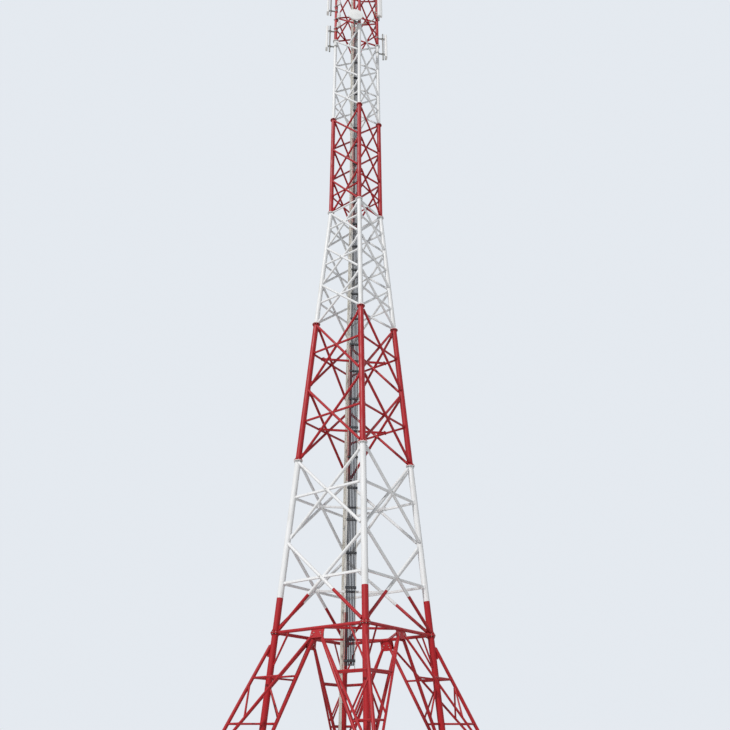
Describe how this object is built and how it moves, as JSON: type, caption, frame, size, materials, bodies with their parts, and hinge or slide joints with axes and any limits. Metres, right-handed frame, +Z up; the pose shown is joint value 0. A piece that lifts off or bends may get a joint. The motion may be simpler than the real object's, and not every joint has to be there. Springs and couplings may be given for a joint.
{
  "type": "tubular lattice telecom tower",
  "caption": "Square tubular steel lattice tower with red and white bands, crossed bracing, raking outrigger feet, an inner cable ladder with feeder cables, and antennas at its head",
  "frame": {"origin": "centre of the underside of the front left main leg's base plate", "axes": "+Z up; -Y is the front face and -X the left face; the tower's own axis stands at +X +Y from the origin, over the middle of the square of main feet"},
  "size_m": [6.9, 6.9, 39.9],
  "materials": {
    "red_paint": "weathered gloss paint",
    "white_paint": "weathered gloss paint",
    "galvanised": "hot-dip galvanised, dull",
    "cable_sheath": "black cable sheath",
    "radome": "off-white radome"
  },
  "bodies": {
    "root": {"antenna_brackets": "galvanised", "antenna_pipes": "galvanised", "base_legs": "red_paint", "base_rakers": "red_paint", "base_ring": "red_paint", "bracing_front_left": "red_paint", "bracing_front_right": "red_paint", "bracing_rear_left": "red_paint", "bracing_rear_right": "red_paint", "cable_clamps": "cable_sheath", "cable_ladder": "galvanised", "climbing_ladder": "galvanised", "climbing_rungs": "galvanised", "drum_antenna": "radome", "drum_radome": "radome", "feeder_cables": "cable_sheath", "ladder_brackets": "galvanised", "level_bars": "white_paint", "main_base_plates": "red_paint", "outer_base_plates": "red_paint", "panel_antennas": "radome", "plan_bars": "white_paint", "radio_units": "radome", "ring_diamond": "red_paint", "ring_gussets": "red_paint", "section_1_front": "white_paint", "section_1_left": "white_paint", "section_1_legs": "white_paint", "section_1_rear": "white_paint", "section_1_right": "white_paint", "section_2_front": "red_paint", "section_2_left": "red_paint", "section_2_legs": "red_paint", "section_2_rear": "red_paint", "section_2_right": "red_paint", "section_3_front": "white_paint", "section_3_left": "white_paint", "section_3_legs": "white_paint", "section_3_rear": "white_paint", "section_3_right": "white_paint", "section_4_front": "red_paint", "section_4_left": "red_paint", "section_4_legs": "red_paint", "section_4_rear": "red_paint", "section_4_right": "red_paint", "section_5_front": "white_paint", "section_5_left": "white_paint", "section_5_legs": "white_paint", "section_5_rear": "white_paint", "section_5_right": "white_paint", "section_6_front": "red_paint", "section_6_left": "red_paint", "section_6_legs": "red_paint", "section_6_rear": "red_paint", "section_6_right": "red_paint", "ties_front_left": "red_paint", "ties_front_right": "red_paint", "ties_rear_left": "red_paint", "ties_rear_right": "red_paint"}
  },
  "joints": []
}
